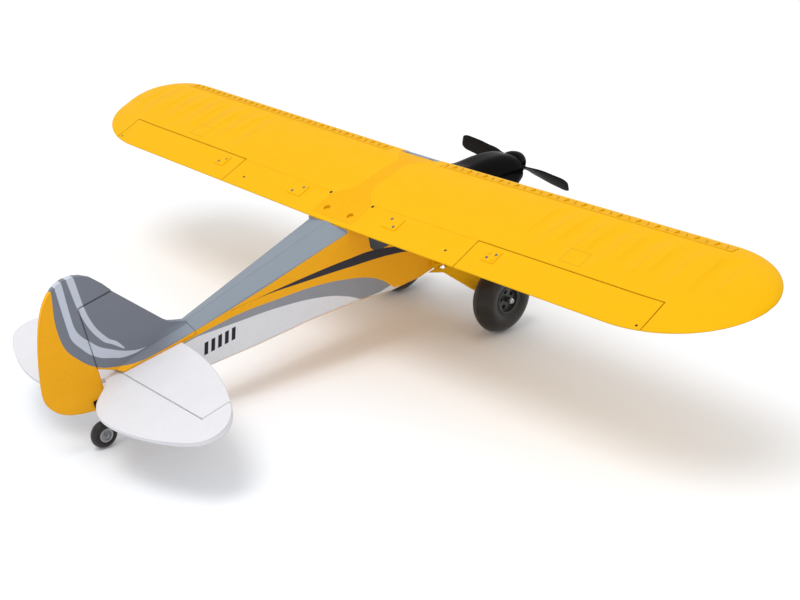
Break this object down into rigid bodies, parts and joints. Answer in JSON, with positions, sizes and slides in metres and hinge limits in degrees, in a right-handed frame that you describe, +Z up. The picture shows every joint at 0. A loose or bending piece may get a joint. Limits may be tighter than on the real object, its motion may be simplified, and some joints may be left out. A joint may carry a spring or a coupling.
{
  "type": "radio control foam airplane",
  "caption": "High-wing foam radio-control bush plane with tundra tyres, lift struts, moving control surfaces and their linkages, and a spinning propeller.",
  "frame": {"origin": "bottom centre of the bounding box: on the ground under the middle of the plane", "axes": "+X forwards towards the propeller, +Y to the plane's left wing tip, +Z up, standing on its three wheels"},
  "size_m": [0.8766, 1.2988, 0.2767],
  "materials": {
    "livery_foam": "painted bead foam: yellow, grey, charcoal and white bands",
    "slate_yellow_foam": "painted bead foam",
    "yellow_foam": "painted bead foam, satin",
    "yellow_plastic": "satin moulded plastic",
    "amber_plate": "satin moulded plastic",
    "fin_strip": "satin moulded plastic",
    "white_foam": "bare bead foam",
    "dark_window": "smoked glossy sheet",
    "black_gloss": "high gloss",
    "black_nylon": "satin",
    "white_nylon": "satin",
    "copper_windings": "enamelled wire on steel laminations",
    "motor_metal": "machined",
    "heat_shrink": "shrink sleeve",
    "electronics_case": "satin",
    "battery_wrap": "shrink wrap",
    "plywood": "light ply",
    "servo_case": "moulded",
    "carbon_tube": "carbon fibre, satin",
    "steel_wire": "drawn wire",
    "screw_steel": "plated",
    "collar_metal": "plated",
    "tyre_rubber": "soft black foam rubber",
    "hub_plastic": "satin grey"
  },
  "bodies": {
    "airframe": {"aileron_servos": "servo_case", "battery_pack": "battery_wrap", "cowl": "black_gloss", "esc": "heat_shrink", "fin": "slate_yellow_foam", "flap_horns": "yellow_plastic", "fuselage_left_half": "livery_foam", "fuselage_right_half": "livery_foam", "gear_fairing_left": "yellow_foam", "gear_fairing_right": "yellow_foam", "gear_straps": "black_nylon", "landing_gear_wire": "steel_wire", "motor_mount": "black_nylon", "motor_stator": "copper_windings", "receiver": "electronics_case", "servo_tray": "plywood", "side_windows": "dark_window", "small_screws": "screw_steel", "stabilizer": "white_foam", "strut_clips": "yellow_plastic", "strut_left": "yellow_plastic", "strut_right": "yellow_plastic", "surface_hinges": "black_nylon", "tail_servos": "servo_case", "tail_wheel_bracket": "black_nylon", "vortex_strips": "fin_strip", "wheel_collars": "collar_metal", "wing_bolts": "amber_plate", "wing_center_plate": "amber_plate", "wing_left_panel": "yellow_foam", "wing_right_panel": "yellow_foam", "wing_spar": "carbon_tube"},
    "propeller_unit": {"propeller": "black_nylon", "spinner": "black_gloss", "motor_can": "motor_metal"},
    "hatch": {"battery_hatch": "black_gloss", "windshield": "dark_window"},
    "aileron_right": {"aileron_right": "yellow_foam", "aileron_horn_right": "yellow_plastic"},
    "aileron_left": {"aileron_left": "yellow_foam", "aileron_horn_left": "yellow_plastic"},
    "aileron_servo_arm_right": {"aileron_servo_arm_right": "white_nylon"},
    "aileron_servo_arm_left": {"aileron_servo_arm_left": "white_nylon"},
    "aileron_pushrod_right": {"aileron_pushrod_right": "steel_wire"},
    "aileron_pushrod_left": {"aileron_pushrod_left": "steel_wire"},
    "elevator": {"elevator": "white_foam", "elevator_horn": "black_nylon"},
    "elevator_servo_arm": {"elevator_servo_arm": "white_nylon"},
    "elevator_pushrod": {"elevator_pushrod": "steel_wire"},
    "rudder": {"rudder": "slate_yellow_foam", "rudder_horn": "black_nylon", "tail_wheel_wire": "steel_wire"},
    "rudder_servo_arm": {"rudder_servo_arm": "white_nylon"},
    "rudder_pushrod": {"rudder_pushrod": "steel_wire"},
    "wheel_left": {"tyre_left": "tyre_rubber", "hub_left": "hub_plastic"},
    "wheel_right": {"tyre_right": "tyre_rubber", "hub_right": "hub_plastic"},
    "tail_wheel": {"tail_tyre": "tyre_rubber", "tail_hub": "hub_plastic"}
  },
  "joints": [
    {"name": "propeller_spin", "type": "hinge", "parent": "airframe", "child": "propeller_unit", "pos_m": [0.41898, 0, 0.20881], "axis": [0.9798, 0, 0.1998], "continuous": true},
    {"name": "hatch_lift", "type": "slide", "parent": "airframe", "child": "hatch", "axis": [-0.1998, 0, 0.9798], "range_m": [0, 0.06]},
    {"name": "aileron_right_hinge", "type": "hinge", "parent": "airframe", "child": "aileron_right", "pos_m": [0.07766, -0.39788, 0.23104], "axis": [0.0026, 0.9999, -0.0127], "range_deg": [-25, 25]},
    {"name": "aileron_left_hinge", "type": "hinge", "parent": "airframe", "child": "aileron_left", "pos_m": [0.07766, 0.39788, 0.23104], "axis": [-0.0026, 0.9999, 0.0127], "range_deg": [-25, 25]},
    {"name": "aileron_right_servo", "type": "hinge", "parent": "airframe", "child": "aileron_servo_arm_right", "pos_m": [0.13674, -0.28639, 0.24161], "axis": [0.0026, 0.9999, -0.0127], "range_deg": [-25, 25]},
    {"name": "aileron_right_rod", "type": "hinge", "parent": "aileron_servo_arm_right", "child": "aileron_pushrod_right", "pos_m": [0.14074, -0.28665, 0.22201], "axis": [0.0026, 0.9999, -0.0127], "range_deg": [-25, 25]},
    {"name": "aileron_left_servo", "type": "hinge", "parent": "airframe", "child": "aileron_servo_arm_left", "pos_m": [0.13674, 0.28639, 0.24161], "axis": [-0.0026, 0.9999, 0.0127], "range_deg": [-25, 25]},
    {"name": "aileron_left_rod", "type": "hinge", "parent": "aileron_servo_arm_left", "child": "aileron_pushrod_left", "pos_m": [0.14074, 0.28665, 0.22201], "axis": [-0.0026, 0.9999, 0.0127], "range_deg": [-25, 25]},
    {"name": "elevator_hinge", "type": "hinge", "parent": "airframe", "child": "elevator", "pos_m": [-0.32937, 0, 0.09501], "axis": [0, 1, 0], "range_deg": [-25, 25]},
    {"name": "elevator_servo", "type": "hinge", "parent": "airframe", "child": "elevator_servo_arm", "pos_m": [0.03905, 0.014, 0.17013], "axis": [0, 1, 0], "range_deg": [-25, 25]},
    {"name": "elevator_rod", "type": "hinge", "parent": "elevator_servo_arm", "child": "elevator_pushrod", "pos_m": [0.04225, 0.014, 0.15445], "axis": [0, 1, 0], "range_deg": [-25, 25]},
    {"name": "rudder_hinge", "type": "hinge", "parent": "airframe", "child": "rudder", "pos_m": [-0.35379, 0, 0.06962], "axis": [-0.1998, 0, 0.9798], "range_deg": [-28, 28]},
    {"name": "rudder_servo", "type": "hinge", "parent": "airframe", "child": "rudder_servo_arm", "pos_m": [0.09694, 0, 0.16152], "axis": [-0.1998, 0, 0.9798], "range_deg": [-28, 28]},
    {"name": "rudder_rod", "type": "hinge", "parent": "rudder_servo_arm", "child": "rudder_pushrod", "pos_m": [0.09694, -0.012, 0.16152], "axis": [-0.1998, 0, 0.9798], "range_deg": [-28, 28]},
    {"name": "wheel_left_spin", "type": "hinge", "parent": "airframe", "child": "wheel_left", "pos_m": [0.27277, 0.1128, 0.055], "axis": [0, 1, 0], "continuous": true},
    {"name": "wheel_right_spin", "type": "hinge", "parent": "airframe", "child": "wheel_right", "pos_m": [0.27277, -0.1128, 0.055], "axis": [0, 1, 0], "continuous": true},
    {"name": "tail_wheel_spin", "type": "hinge", "parent": "rudder", "child": "tail_wheel", "pos_m": [-0.35877, 0, 0.019], "axis": [0, 1, 0], "continuous": true}
  ],
  "couplings": [
    {"joint": "aileron_left_hinge", "follows": "aileron_right_hinge", "ratio": -1},
    {"joint": "aileron_right_servo", "follows": "aileron_right_hinge", "ratio": 1},
    {"joint": "aileron_right_rod", "follows": "aileron_right_hinge", "ratio": -1},
    {"joint": "aileron_left_servo", "follows": "aileron_right_hinge", "ratio": -1},
    {"joint": "aileron_left_rod", "follows": "aileron_right_hinge", "ratio": 1},
    {"joint": "elevator_servo", "follows": "elevator_hinge", "ratio": 1},
    {"joint": "elevator_rod", "follows": "elevator_hinge", "ratio": -1},
    {"joint": "rudder_servo", "follows": "rudder_hinge", "ratio": 1},
    {"joint": "rudder_rod", "follows": "rudder_hinge", "ratio": -1}
  ]
}
